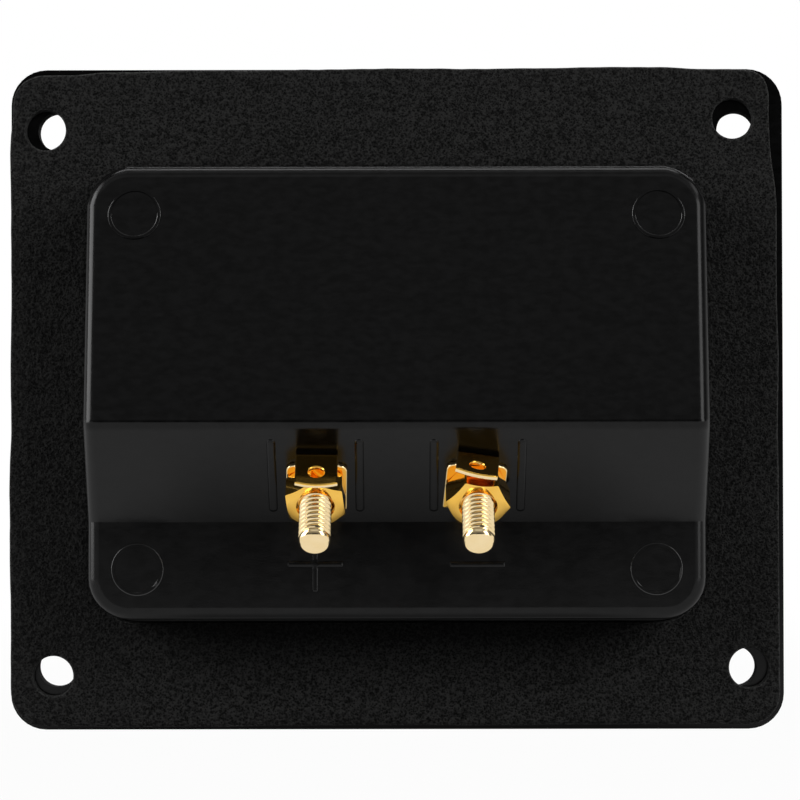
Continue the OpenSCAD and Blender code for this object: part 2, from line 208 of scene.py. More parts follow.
def plastic(name, dark, pale, rough, specular, grain):
    """Moulded plastic: faint flow mottle in colour and gloss, and a fine spark-eroded grain."""
    mat, tree, shader, coords = new_material(name)
    mottle = noise_node(tree, coords, 160, 4)
    flow = noise_node(tree, coords, 1300, 5, (0.5, 1.0, 1.0))
    fine = noise_node(tree, coords, 5200, 2)
    links = tree.links
    links.new(ramp_node(tree, flow, [(0.35, dark), (0.65, pale)]), shader.inputs["Base Color"])
    links.new(range_node(tree, mottle, rough - 0.03, rough + 0.04), shader.inputs["Roughness"])
    polish = bump_node(tree, flow, grain, 0.00001)
    links.new(bump_node(tree, fine, grain, 0.00003, polish), shader.inputs["Normal"])
    shader.inputs["Specular IOR Level"].default_value = specular
    return mat


def foam(name, cell, web):
    """Closed-cell foam: fine open cells of uneven size in a matt web, with soft patches."""
    mat, tree, shader, coords = new_material(name)
    cells = tree.nodes.new("ShaderNodeTexVoronoi")
    cells.inputs["Scale"].default_value = 3600
    links = tree.links
    links.new(coords, cells.inputs["Vector"])
    fine = noise_node(tree, coords, 2300, 6)
    patch = noise_node(tree, coords, 420, 3)
    both = math_node(tree, "MULTIPLY", cells.outputs["Distance"],
                     range_node(tree, fine, 0.35, 1.7))
    both = math_node(tree, "MULTIPLY", both, range_node(tree, patch, 0.8, 1.2))
    links.new(ramp_node(tree, both, [(0.12, cell), (0.85, web)]), shader.inputs["Base Color"])
    links.new(range_node(tree, patch, 0.8, 1.0), shader.inputs["Roughness"])
    lumps = bump_node(tree, fine, 0.6, 0.0003)
    links.new(bump_node(tree, both, 0.5, 0.00015, lumps), shader.inputs["Normal"])
    shader.inputs["Specular IOR Level"].default_value = 0.08
    return mat


def plated(name, deep, pale, rough):
    """Bright plate: slow drift in tone, fine turning and handling marks in gloss and relief."""
    mat, tree, shader, coords = new_material(name)
    drift = noise_node(tree, coords, 420, 3)
    marks = noise_node(tree, coords, 2600, 4, (1.0, 6.0, 1.0))
    links = tree.links
    links.new(ramp_node(tree, drift, [(0.3, deep), (0.7, pale)]), shader.inputs["Base Color"])
    links.new(range_node(tree, marks, rough - 0.03, rough + 0.05), shader.inputs["Roughness"])
    links.new(bump_node(tree, marks, 0.08, 0.00001), shader.inputs["Normal"])
    shader.inputs["Metallic"].default_value = 1.0
    return mat


ABS_BLACK = plastic("moulded_abs", grey(0.0007), (0.0036, 0.0036, 0.0037),
                    rough=0.2, specular=0.22, grain=0.14)
# Glossier plastic for the ring lines: the gloss is real, the lighter colour is a painted highlight
ABS_GLOSS_AND_PAINTED_HIGHLIGHT = plastic("polished_mark", grey(0.003), grey(0.006),
                   rough=0.25, specular=0.75, grain=0.08)
ABS_WALL = plastic("grained_abs", grey(0.001), grey(0.004), rough=0.5, specular=0.2, grain=0.3)
ABS_MATT = plastic("matt_abs", grey(0.002), grey(0.004), rough=0.8, specular=0.02, grain=0.2)
FOAM = foam("closed_cell_foam", grey(0.002), (0.0275, 0.0275, 0.027))
# Lighter foam for the gasket's edges: a painted highlight where the rounded edge catches the light
FOAM_EDGE_PAINTED_HIGHLIGHT = foam("cut_foam_edge", grey(0.012), (0.06, 0.06, 0.059))
GOLD = plated("gold_plate", (0.93, 0.53, 0.085), (0.98, 0.59, 0.12), rough=0.09)
# Pale gold: the posts' own plating, and on the lugs a painted highlight along their edges and round their holes
PALE_GOLD_AND_EDGE_HIGHLIGHT = plated("pale_gold_plate", (0.94, 0.72, 0.38), (0.98, 0.78, 0.46), rough=0.13)
CAP_RED = plastic("cap_red", (0.42, 0.012, 0.014), (0.52, 0.018, 0.02),
                  rough=0.3, specular=0.5, grain=0.08)
CAP_BLACK = plastic("cap_black", grey(0.01), grey(0.015), rough=0.3, specular=0.5, grain=0.08)


# Building helpers

SHARP_ANGLE = 32


def axes_place(x, y, z, origin):
    """Placing matrix whose columns are three axes and an origin in metres."""
    return Matrix((
        (x[0], y[0], z[0], origin[0]),
        (x[1], y[1], z[1], origin[1]),
        (x[2], y[2], z[2], origin[2]),
        (0, 0, 0, 1),
    ))


def stud_place(side, turn=0):
    """Z along the stud to its tip, Y up the band, origin on the band's rear face."""
    joint = JOINTS[f"{side}_cap_turn"]
    z = -Vector(joint["axis"]).normalized()
    x = Vector((1, 0, 0))
    spin = Matrix.Rotation(math.radians(turn), 4, "Z")
    return axes_place(x, z.cross(x), z, joint["pos_m"]) @ spin


def rear_place(x, depth, z):
    """X to the right and Y up on a plane that faces the rear, at a depth behind the flange."""
    return axes_place((1, 0, 0), (0, 0, 1), (0, -1, 0), (x * MM, -depth * MM, z * MM))


def even_normals(mesh, limit):
    """Corner normals that lean to the larger faces within an angle, so that flats stay flat."""
    near = math.cos(math.radians(limit))
    around = [[] for _ in mesh.vertices]
    for face in mesh.polygons:
        for v in face.vertices:
            around[v].append((face.normal.copy(), face.area ** 2))
    normals = []
    for face in mesh.polygons:
        for v in face.vertices:
            close = [n * weight for n, weight in around[v] if n.dot(face.normal) > near]
            normals.append(sum(close, Vector()).normalized())
    mesh.normals_split_custom_set(normals)


def add_piece(name, bm, place, materials, body, slot, replaced=None, sharp=SHARP_ANGLE):
    bm.transform(place @ Matrix.Scale(MM, 4))
    bmesh.ops.recalc_face_normals(bm, faces=bm.faces)
    mesh = bpy.data.meshes.new(name)
    bm.to_mesh(mesh)
    bm.free()
    mesh.shade_smooth()
    mesh.set_sharp_from_angle(angle=math.radians(sharp))
    for material in materials:
        mesh.materials.append(material)
    # A sheet of one material has it on its sides too
    for face in mesh.polygons:
        face.material_index = min(face.material_index, len(materials) - 1)
    obj = bpy.data.objects.new(name, mesh)
    bpy.context.scene.collection.objects.link(obj)
    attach(obj, body)
    if replaced:
        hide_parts(replaced)
    return obj


def round_edges(bm, width, segments, picks):
    edges = [e for e in bm.edges if picks(e)]
    bmesh.ops.bevel(bm, geom=edges, offset=width, segments=segments, profile=0.5,
                    affect="EDGES", clamp_overlap=True)


def bend_of(edge):
    return edge.calc_face_angle(0.0) if edge.is_manifold else 0.0


def even_angles(n):
    return [2 * math.pi * j / n for j in range(n)]


def ring_stack(rings, thetas, closed=False):
    """Closed form from rings, each a (radius, height), a function of the angle or a thread."""
    bm = bmesh.new()

    def row(ring):
        if not callable(ring) and ring[0] == 0:
            return [bm.verts.new((0, 0, ring[1]))] * len(thetas)
        pairs = [ring(t) if callable(ring) else ring for t in thetas]
        return [bm.verts.new((r * math.cos(t), r * math.sin(t), z))
                for (r, z), t in zip(pairs, thetas)]

    def face(*verts):
        unique = list(dict.fromkeys(verts))
        if len(unique) > 2:
            bm.faces.new(unique)

    rows, threads = [], {}
    for ring in rings:
        if isinstance(ring, dict):
            threads[len(rows)] = ring
        else:
            rows.append(row(ring))
    if closed:
        rows.append(rows[0])
    n = len(thetas)
    for k in range(1, len(rows)):
        low, high = rows[k - 1], rows[k]
        if k in threads:
            add_thread(bm, face, low, high, threads[k], thetas)
            continue
        for j in range(n):
            i = (j + 1) % n
            face(low[j], low[i], high[i], high[j])
    return bm


# Place in the pitch and height of each corner of a thread's profile
THREAD_PROFILE = [
    (0.0, 0.0), (0.07, 0.05), (0.15, 0.25), (0.3, 0.62), (0.44, 0.95),
    (0.5, 1.0), (0.56, 0.95), (0.7, 0.62), (0.85, 0.25), (0.93, 0.05),
]


def add_thread(bm, face, low, high, thread, thetas):
    """Fills the wall between two rings with a right-hand thread.

    It runs out at a slope, or at its upper end fills up to the crest where fill_slope is given."""
    z0, z1, pitch = thread["from"], thread["to"], thread["pitch"]
    crest, root = thread["crest"], thread["root"]
    turns = int((z1 - z0) / pitch) + 2
    count = len(THREAD_PROFILE)
    n = len(thetas)
    made = {}

    def vertex(i, j):
        if j == n:
            return vertex(i + count, 0)
        key = (i, j)
        if key not in made:
            place, height = THREAD_PROFILE[i % count]
            z = z0 + (i // count - 1 + place + j / n) * pitch
            if z <= z0 + TINY:
                made[key] = low[j]
            elif z >= z1 - TINY:
                made[key] = high[j]
            else:
                r = root + (crest - root) * height
                r = min(r, root + (z - z0) * thread["low_slope"])
                if "high_slope" in thread:
                    r = min(r, root + (z1 - z) * thread["high_slope"])
                else:
                    r = max(r, crest - (z1 - z) * thread["fill_slope"])
                made[key] = bm.verts.new((r * math.cos(thetas[j]), r * math.sin(thetas[j]), z))
        return made[key]

    for i in range((turns + 1) * count):
        for j in range(n):
            face(vertex(i, j), vertex(i, j + 1), vertex(i + 1, j + 1), vertex(i + 1, j))


def inset_loop(loop, depth):
    """Moves a closed anticlockwise outline inwards by a depth, or by a function of each point.

    An outline that runs clockwise grows."""
    moved = []
    for i, (x, y) in enumerate(loop):
        (xa, ya), (xb, yb) = loop[i - 1], loop[(i + 1) % len(loop)]
        along = Vector((xb - xa, yb - ya)).normalized()
        move = depth(x, y) if callable(depth) else depth
        moved.append((x - along.y * move, y + along.x * move))
    return moved


def inside(loop, x, y):
    """Whether a closed outline goes round a point."""
    odd = False
    xa, ya = loop[-1]
    for xb, yb in loop:
        if (ya > y) != (yb > y) and x < xa + (y - ya) * (xb - xa) / (yb - ya):
            odd = not odd
        xa, ya = xb, yb
    return odd


def thick_sheet(loops, depths, inner, top, bottom, rim=0.0):
    """Closed sheet inside its first outline and outside the rest, with rows along its edges.

    Its sides, and its upper face as far in as rim, take the second material."""
    points, edges = [], []
    for loop in loops:
        first, n = len(points), len(loop)
        points += [(x, y, 0.0) for x, y in loop]
        edges += [(first + i, first + (i + 1) % n) for i in range(n)]
    for loop in loops:
        for depth in depths:
            points += [(x, y, depth) for x, y in inset_loop(loop, depth)]
    points += [(x, y, depths[-1]) for x, y in inner]
    flat = [Vector(p[:2]) for p in points]
    verts, _, faces, origin = delaunay_2d_cdt(flat, edges, [], 1, TINY)[:4]
    bm = bmesh.new()
    upper, lower, deep = [], [], []
    for v, source in zip(verts, origin):
        depth = points[source[0]][2] if source else depths[-1]
        deep.append(depth)
        upper.append(bm.verts.new((v.x, v.y, top(v.x, v.y, depth))))
        lower.append(bm.verts.new((v.x, v.y, bottom(v.x, v.y, depth))))
    sides = set()
    for f in faces:
        mid = sum((verts[i] for i in f), Vector((0, 0))) / len(f)
        if not inside(loops[0], *mid) or any(inside(loop, *mid) for loop in loops[1:]):
            continue
        on_rim = max(deep[i] for i in f) <= rim
        bm.faces.new([upper[i] for i in f]).material_index = int(on_rim)
        bm.faces.new([lower[i] for i in reversed(f)])
        sides.update(zip(f, f[1:] + f[:1]))
    for a, b in sides:
        if (b, a) not in sides:
            bm.faces.new((upper[a], lower[a], lower[b], upper[b])).material_index = 1
    bmesh.ops.delete(bm, geom=[v for v in bm.verts if not v.link_faces], context="VERTS")
    return bm


def rounding(r):
    """How far a face has dropped at a depth from an edge that is rounded to r."""
    return lambda depth: r - math.sqrt(max(r * r - max(r - depth, 0) ** 2, 0))


def circle_loop(x, y, r, n):
    """Clockwise circle, for a hole."""
    return [(x + r * math.cos(-t), y + r * math.sin(-t)) for t in even_angles(n)]


def rounded_loop(x0, y0, x1, y1, r, step):
    """Anticlockwise rounded rectangle with points about step apart."""
    corners = [(x1 - r, y0 + r, -90), (x1 - r, y1 - r, 0),
               (x0 + r, y1 - r, 90), (x0 + r, y0 + r, 180)]
    arc = max(4, round(r * math.pi / 2 / step))

    def on_corner(k, turn):
        x, y, start = corners[k % len(corners)]
        a = math.radians(start + turn)
        return x + r * math.cos(a), y + r * math.sin(a)

    loop = []
    for k in range(len(corners)):
        loop += [on_corner(k, 90 * i / arc) for i in range(arc + 1)]
        last, end = Vector(loop[-1]), Vector(on_corner(k + 1, 0))
        parts = max(1, round((end - last).length / step))
        loop += [tuple(last.lerp(end, i / parts)) for i in range(1, parts)]
    return loop


# Housing: the solid's own form, welded and shaded smooth, with its small relief softened

CORNER_REACH = 9.0
EASED_R = 7.1
EASE_LIMIT = 1.06
WELD = 0.0005
FLAT_ANGLE = 0.4
STEEP_BEND = 1.0
RIB_HALF_ZONE = 20
RIB_TOLERANCE = 0.01
RIB_ROUND = 0.48
RIB_FLATTEN = 0.6
RING_NEAR = 0.3
RING_LINE_IN = 0.15
RING_ROUND = 0.14
RING_WIDEN = 0.5
SCREW_HOLE_NEAR = 3
WALL_IN_X = 1.2
WALL_IN_Z = 1.25
# Places in the shell's list of materials
FACE, SCREW_HOLE, RING_LINE, OUTER_WALL = range(4)


def corner_edge(turn, r):
    """How far a rounded corner's outline is from the inner corner of its square, at an angle."""
    wide, slim = max(math.cos(turn), math.sin(turn)), min(math.cos(turn), math.sin(turn))
    a = CORNER_REACH - r
    if CORNER_REACH / wide * slim <= a:
        return CORNER_REACH / wide
    b = a * (wide + slim)
    return b + math.sqrt(b * b - 2 * a * a + r * r)


def ease_corner(x, z):
    """Draws the cup's upper corners in to their larger radius, and what is near them in step."""
    left, low = CUP_HALF_W - CORNER_REACH, CUP_RISE + CUP_HALF_H - CORNER_REACH
    dx, dz = abs(x) - left, z - low
    if dx <= 0 or dz <= 0:
        return x, z
    turn = math.atan2(dz, dx)
    old = corner_edge(turn, CUP_CORNER_R)
    share = math.hypot(dx, dz) / old
    if share > EASE_LIMIT:
        return x, z
    grow = 1 + (corner_edge(turn, EASED_R) / old - 1) * share ** 3
    return math.copysign(left + dx * grow, x), low + dz * grow


def ring_middle_z(z):
    return RING_HIGH_Z if z > 0 else RING_LOW_Z


def ring_distance(co):
    """How far a point is from the middle of the ring mark in its quarter of the cup."""
    return math.hypot(abs(co.x) - RING_X, co.z - ring_middle_z(co.z))


def housing_copy():
    bm = bmesh.new()
    bm.from_mesh(frame["nodes"]["cup_housing"].data)
    bmesh.ops.scale(bm, vec=(1 / MM,) * 3, verts=bm.verts)
    bmesh.ops.remove_doubles(bm, verts=bm.verts, dist=WELD)
    bmesh.ops.dissolve_degenerate(bm, edges=bm.edges, dist=WELD)
    bmesh.ops.dissolve_limit(bm, angle_limit=math.radians(FLAT_ANGLE), verts=bm.verts,
                             edges=bm.edges)
    origin = Vector(JOINTS["positive_cap_turn"]["pos_m"]) / MM
    outwards = -Vector(JOINTS["positive_cap_turn"]["axis"])

    def on_rib(v):
        height = outwards.dot(v.co - origin)
        return abs(height - RIB_H) < RIB_TOLERANCE and abs(v.co.x) < RIB_HALF_ZONE

    def on_ring(v):
        return abs(ring_distance(v.co) - RING_R) < RING_NEAR

    def steep(e, on_mark):
        return on_mark(e.verts[0]) and on_mark(e.verts[1]) and bend_of(e) > STEEP_BEND

    round_edges(bm, RIB_ROUND, 5, lambda e: steep(e, on_rib))
    round_edges(bm, RING_ROUND, 4, lambda e: steep(e, on_ring) and e.is_convex)
    for v in bm.verts:
        if v.co.y < -10 and on_ring(v):
            # The ring lines widen about their middle, along the panel that they lie on
            high = v.co.z > 0
            across = Vector((v.co.x - math.copysign(RING_X, v.co.x),
                             v.co.z - ring_middle_z(v.co.z)))
            across *= (1 - (RING_R - RING_LINE_IN) / across.length) * RING_WIDEN
            v.co += Vector((across.x, across.y * UPPER_SLOPE if high else 0, across.y))
        rise = outwards.dot(v.co - origin)
        if (RIB_TOLERANCE < rise < RIB_H + RIB_TOLERANCE and abs(v.co.x) < RIB_HALF_ZONE
                and v.co.y < -15):
            v.co -= outwards * rise * RIB_FLATTEN
        if v.co.y < 0.01:
            v.co.x, v.co.z = ease_corner(v.co.x, v.co.z)
    bm.normal_update()
    for f in bm.faces:
        mid = f.calc_center_median()
        from_hole = math.hypot(abs(mid.x) - HOLE_X, abs(mid.z) - HOLE_Z)
        from_wall = max(abs(mid.x) - CUP_HALF_W + WALL_IN_X,
                        abs(mid.z - CUP_RISE) - CUP_HALF_H + WALL_IN_Z)
        # Ring lines take the glossier plastic, whose lighter colour is a painted highlight
        if mid.y < -10 and abs(ring_distance(mid) - RING_R + RING_LINE_IN) < RING_NEAR:
            f.material_index = RING_LINE
        elif abs(f.normal.y) < 0.1 and from_hole < SCREW_HOLE_NEAR:
            f.material_index = SCREW_HOLE
        elif abs(f.normal.y) < 0.25 and from_wall > 0:
            f.material_index = OUTER_WALL
        else:
            f.material_index = FACE
    return bm


shell = add_piece("cup_shell", housing_copy(), Matrix.Identity(4),
                  (ABS_BLACK, ABS_MATT, ABS_GLOSS_AND_PAINTED_HIGHLIGHT, ABS_WALL), "housing", "moulded_black",
                  "cup_housing", sharp=30)
even_normals(shell.data, 32)


# Gasket: foam cut a little off the flange's outline, with its screw holes out of line

GASKET_T = GASKET_HIGH.y - GASKET_LOW.y
GASKET_CORNER_R = 4.2
WINDOW_GAP = 0.3
OUTLINE_STEP = 0.8
FOAM_ROUND = 0.45
FOAM_RIM = 0.2
FOAM_HOLE_R = 2.58
# Spacing of the points within the foam, how far each strays, and what they keep clear of
FOAM_PITCH = 0.75
FOAM_STRAY = 0.3
EDGE_CLEAR_X, EDGE_CLEAR_Z = 2.2, 1.4
WINDOW_CLEAR_X, WINDOW_CLEAR_Z = 1.0, 1.05
HOLE_CLEAR = 0.9
# Outward shift of the foam's edge at points round the outline
EDGE_DRIFT = [
    ((-46, -43), -0.1), ((0, -43), -0.2), ((46, -43), -0.25), ((50, -30), -0.35),
    ((50, 0), -0.35), ((50, 20), -0.45), ((50, 37), -1.5), ((44, 43), 0.3), ((30, 43), 0.55),
    ((0, 43), 0.35), ((-25, 43), 0.18), ((-36, 43), -0.1), ((-44, 43), -0.45),
    ((-50, 37), 0.05), ((-50, 33), 0.4), ((-50, 20), 0.3), ((-50, 0), 0.3),
    ((-50, -14), 0.45), ((-50, -34), 0.3),
]
DRIFT_SOFTNESS = 6
# Middle of each foam hole from the middle of its screw hole
HOLE_SHIFT = {
    (-1, 1): (-1.38, 0.0), (1, 1): (-0.6, 1.4), (-1, -1): (-0.38, -0.98), (1, -1): (1.35, 0.0),
}


def ripple(x, y, layer, height, scale):
    """Smooth noise over a plane, where each layer is a pattern of its own."""
    return height * noise.noise(Vector((x, y, layer)) * scale)


def edge_drift(x, y):
    total = weight = 0.0
    for (px, py), shift in EDGE_DRIFT:
        near = 1 / ((x - px) ** 2 + (y - py) ** 2 + DRIFT_SOFTNESS) ** 1.5
        total += shift * near
        weight += near
    wave = ripple(x, y, 3.0, 0.12, 0.12) + ripple(x, y, 9.0, 0.05, 0.5)
    return total / weight + wave


def gasket_form():
    outline = rounded_loop(GASKET_LOW.x, GASKET_LOW.z, GASKET_HIGH.x, GASKET_HIGH.z,
                           GASKET_CORNER_R, OUTLINE_STEP)
    outline = inset_loop(outline, lambda x, z: -edge_drift(x, z))
    half_w, half_h = CUP_HALF_W + WINDOW_GAP, CUP_HALF_H + WINDOW_GAP
    window = rounded_loop(-half_w, CUP_RISE - half_h, half_w, CUP_RISE + half_h,
                          CUP_CORNER_R + WINDOW_GAP, OUTLINE_STEP)
    window = [ease_corner(x, z) for x, z in reversed(window)]
    holes = [(sx * HOLE_X + dx, sz * HOLE_Z + dz) for (sx, sz), (dx, dz) in HOLE_SHIFT.items()]

    def clear(x, z):
        in_frame = abs(x) < GASKET_HIGH.x - EDGE_CLEAR_X and abs(z) < GASKET_HIGH.z - EDGE_CLEAR_Z
        in_window = (abs(x) < CUP_HALF_W + WINDOW_CLEAR_X
                     and abs(z - CUP_RISE) < CUP_HALF_H + WINDOW_CLEAR_Z)
        off_holes = all(math.hypot(x - hx, z - hz) > FOAM_HOLE_R + HOLE_CLEAR for hx, hz in holes)
        return in_frame and not in_window and off_holes

    inner = []
    for i in range(int(GASKET_LOW.x / FOAM_PITCH), int(GASKET_HIGH.x / FOAM_PITCH) + 1):
        for k in range(int(GASKET_LOW.z / FOAM_PITCH), int(GASKET_HIGH.z / FOAM_PITCH) + 1):
            x = (i + random.uniform(-FOAM_STRAY, FOAM_STRAY)) * FOAM_PITCH
            z = (k + random.uniform(-FOAM_STRAY, FOAM_STRAY)) * FOAM_PITCH
            if clear(x, z):
                inner.append((x, z))
    loops = [outline, window] + [circle_loop(x, z, FOAM_HOLE_R, 48) for x, z in holes]
    drop = rounding(FOAM_ROUND)

    def top(x, z, depth):
        swell = ripple(x, z, 0.0, 0.10, 0.09) + ripple(x, z, 5.0, 0.05, 0.9)
        return GASKET_T + swell - drop(depth)

    return thick_sheet(loops, (0.08, FOAM_RIM, FOAM_ROUND), inner, top,
                       lambda x, z, depth: 0.0, FOAM_RIM)


# The foam's sides and the rounded band along its edges take the lighter foam, a painted highlight
gasket = add_piece("gasket_foam", gasket_form(), rear_place(0, 0, 0), (FOAM, FOAM_EDGE_PAINTED_HIGHLIGHT),
                   "housing", "foam", "foam_gasket", sharp=50)


# Posts: stud and barrel with cut threads, keyed shank, collar and plug socket

STUD_PITCH = 0.7
STUD_ROOT = STUD_R - 0.42
STUD_THREAD_START = 0.3
STUD_CHAMFER = 0.32
STUD_TIP_R = STUD_R - STUD_CHAMFER
STUD_TIP_EASE = 0.08
BARREL_PITCH = 0.8
BARREL_ROOT = BARREL_R - 0.45
BARREL_RELIEF = 0.25
SOCKET_EASE = 0.25
COLLAR_EASE = 0.2


def keyed(z):
    """Ring of the shank, which is round with two flats."""
    return lambda t: (min(SHANK_R, SHANK_HALF_FLAT / max(abs(math.cos(t)), TINY)), z)


def post_form():
    barrel_start = -COLLAR_U - BARREL_RELIEF
    stud_thread_end = STUD_END - STUD_PITCH
    return ring_stack([
        (0, SOCKET_DEPTH - BARREL_END),
        (SOCKET_R, SOCKET_DEPTH - BARREL_END),
        (SOCKET_R, SOCKET_EASE - BARREL_END),
        (SOCKET_R + SOCKET_EASE, -BARREL_END),
        (BARREL_ROOT, -BARREL_END),
        {"from": -BARREL_END, "to": barrel_start, "pitch": BARREL_PITCH, "crest": BARREL_R,
         "root": BARREL_ROOT, "low_slope": 1.2, "high_slope": 2.0},
        (BARREL_ROOT, barrel_start),
        (BARREL_ROOT, -COLLAR_U),
        (COLLAR_R - COLLAR_EASE, -COLLAR_U),
        (COLLAR_R, COLLAR_EASE - COLLAR_U),
        (COLLAR_R, -SEAT_U - COLLAR_EASE),
        (COLLAR_R - COLLAR_EASE, -SEAT_U),
        keyed(-SEAT_U),
        keyed(-FIT_GAP),
        (STUD_ROOT, -FIT_GAP),
        (STUD_ROOT, STUD_THREAD_START),
        {"from": STUD_THREAD_START, "to": stud_thread_end, "pitch": STUD_PITCH, "crest": STUD_R,
         "root": STUD_ROOT, "low_slope": 2.0, "fill_slope": 0.6},
        (STUD_R, stud_thread_end),
        (STUD_R - 0.05, STUD_END - STUD_CHAMFER),
        (STUD_TIP_R + STUD_TIP_EASE, STUD_END - STUD_TIP_EASE),
        (STUD_TIP_R, STUD_END),
        (0, STUD_END),
    ], even_angles(72))


def bore_through(obj, place, r, length):
    """Cuts a round hole through a piece along its local X."""
    bm = ring_stack([(0, -length / 2), (r, -length / 2), (r, length / 2), (0, length / 2)],
                    even_angles(48))
    bm.transform(place @ Matrix.Rotation(math.radians(90), 4, "Y") @ Matrix.Scale(MM, 4))
    bmesh.ops.recalc_face_normals(bm, faces=bm.faces)
    mesh = bpy.data.meshes.new("bore")
    bm.to_mesh(mesh)
    bm.free()
    cutter = bpy.data.objects.new("bore", mesh)
    bpy.context.scene.collection.objects.link(cutter)
    cut = obj.modifiers.new("bore", "BOOLEAN")
    cut.object = cutter
    cut.operation = "DIFFERENCE"
    cut.solver = "EXACT"
    graph = bpy.context.evaluated_depsgraph_get()
    done = bpy.data.meshes.new_from_object(obj.evaluated_get(graph))
    obj.modifiers.clear()
    obj.data = done
    done.shade_smooth()
    done.set_sharp_from_angle(angle=math.radians(SHARP_ANGLE))
    bpy.data.objects.remove(cutter)


# Nuts: hexagon with eased corners, chamfered to a circle and countersunk

NUT_CROWN_R = NUT_AF / 2 * 0.975
NUT_CHAMFER_SLOPE = math.tan(math.radians(30))
NUT_CORNER_R = 0.3
NUT_EASE = 0.07


def hex_angles():
    """Angles round a hexagon, closer together towards its corners."""
    half = [0, 8, 16, 23, 27, 28.2, 28.8, 29.4]
    sector = [-a for a in reversed(half[1:])] + half + [30]
    return [math.radians(60 * k + 30 + a) for k in range(6) for a in sector]


def hex_radius(t, apothem, corner):
    a = abs(math.degrees(t) % 60 - 30)
    flat = math.degrees(math.atan((apothem - corner) * math.tan(math.radians(30)) / apothem))
    if a <= flat:
        return apothem / math.cos(math.radians(a))
    reach = (apothem - corner) / math.cos(math.radians(30))
    off = math.radians(30 - a)
    return reach * math.cos(off) + math.sqrt(max(corner ** 2 - (reach * math.sin(off)) ** 2, 0))


def nut_form():
    bore = STUD_R + FIT_GAP

    def outer(low):
        def ring(t):
            r = hex_radius(t, NUT_AF / 2, NUT_CORNER_R)
            drop = (r - NUT_CROWN_R) * NUT_CHAMFER_SLOPE
            return r, drop if low else NUT_T - drop
        return ring

    bm = ring_stack([
        (bore, NUT_SINK), (bore + NUT_SINK, 0), (NUT_CROWN_R, 0), outer(True),
        outer(False), (NUT_CROWN_R, NUT_T), (bore + NUT_SINK, NUT_T), (bore, NUT_T - NUT_SINK),
    ], hex_angles(), closed=True)
    round_edges(bm, NUT_EASE, 2, lambda e: bend_of(e) > 0.4)
    return bm


# Solder tabs: sheet with eased edges, bent up into a lug with a flared hole

TAB_FOOT_R = 0.3
TAB_ROUND = 0.16
TAB_DEPTHS = (0.03, 0.09, TAB_ROUND, 0.2)
TAB_RIM = 0.17
NECK_START = TAB_ABOVE + 0.12
LUG_HOLE_IN = 0.12
LUG_HOLE_FLARE = 0.42
LUG_HOLE_NEAR = LUG_HOLE_R + 0.3


def corner_arc(x, y, r, start):
    """Quarter turn from an angle."""
    turns = [math.radians(start + 15 * i) for i in range(7)]
    return [(x + r * math.cos(a), y + r * math.sin(a)) for a in turns]


def tab_form(angle, slant):
    """Flat outline first, then everything past the bend line, which may slant, is bent up."""
    sweep, tilt = math.radians(angle), math.radians(slant)
    bend_len = sweep * (BEND_R + TAB_T / 2)
    end = BEND_START + bend_len / math.cos(tilt) + LUG_LEN
    arc_y = end - LUG_END_R
    arc_start = math.acos(LUG_W / 2 / LUG_END_R)
    side_top = arc_y + LUG_END_R * math.sin(arc_start)
    hole_y = end - LUG_HOLE_END

    def heights(x):
        """Rows up the neck, round the bend and along the lug, at x across."""
        bend = [BEND_START + (bend_len * i / 12 + x * math.sin(tilt)) / math.cos(tilt)
                for i in range(13)]
        low = [NECK_START + (bend[0] - NECK_START) * i / 3 for i in range(3)]
        high = [bend[-1] + (side_top - bend[-1]) * i / 6 for i in range(1, 6)]
        return low + bend + high

    half = TAB_W / 2
    foot_y = TAB_FOOT_R - TAB_BELOW
    side_len = TAB_BELOW + TAB_ABOVE - TAB_FOOT_R - TAB_CORNER_R
    right = corner_arc(half - TAB_FOOT_R, foot_y, TAB_FOOT_R, -90)
    right += [(half, foot_y + side_len * i / 10) for i in range(1, 10)]
    right += corner_arc(half - TAB_CORNER_R, TAB_ABOVE - TAB_CORNER_R, TAB_CORNER_R, 0)
    end_turns = [arc_start + (math.pi - 2 * arc_start) * i / 20 for i in range(21)]
    outline = right + [(LUG_W / 2, y) for y in heights(LUG_W / 2)]
    outline += [(LUG_END_R * math.cos(a), arc_y + LUG_END_R * math.sin(a)) for a in end_turns]
    outline += [(-LUG_W / 2, y) for y in reversed(heights(-LUG_W / 2))]
    outline += [(-x, y) for x, y in reversed(right)]
    loops = [outline, circle_loop(0, 0, STUD_R + TAB_GAP, 48),
             circle_loop(0, hole_y, LUG_HOLE_R - LUG_HOLE_IN, 40)]
    columns = [LUG_W * k / 8 for k in range(-3, 4)]
    inner = [(x, y) for x in columns for y in heights(x)
             if math.hypot(x, y - hole_y) > LUG_HOLE_NEAR]
    drop = rounding(TAB_ROUND)

    def top(x, y, depth):
        if math.hypot(x, y - hole_y) < LUG_HOLE_NEAR:
            return TAB_T - LUG_HOLE_FLARE * max(1 - depth / TAB_DEPTHS[-1], 0)
        return TAB_T - drop(depth)

    bm = thick_sheet(loops, TAB_DEPTHS, inner, top, lambda x, y, depth: drop(depth), TAB_RIM)
    for v in bm.verts:
        x, y = v.co.x, v.co.y - BEND_START
        along = x * math.cos(tilt) + y * math.sin(tilt)
        s = y * math.cos(tilt) - x * math.sin(tilt)
        if s <= 0:
            continue
        a = min(s / (BEND_R + TAB_T / 2), sweep)
        past = max(s - bend_len, 0)
        reach = BEND_R + TAB_T - v.co.z
        ahead = reach * math.sin(a) + past * math.cos(a)
        v.co = (along * math.cos(tilt) - ahead * math.sin(tilt),
                BEND_START + along * math.sin(tilt) + ahead * math.cos(tilt),
                TAB_T + BEND_R - reach * math.cos(a) + past * math.sin(a))
    return bm


# Caps: fluted grips, rounded at the free end, over the bush and the barrel

CAP_EASE = 0.3
CAP_EASE_MID = 0.09
FLUTE_FADE = 0.5
FLUTE_WIDTH = 0.86 * FLUTE_R


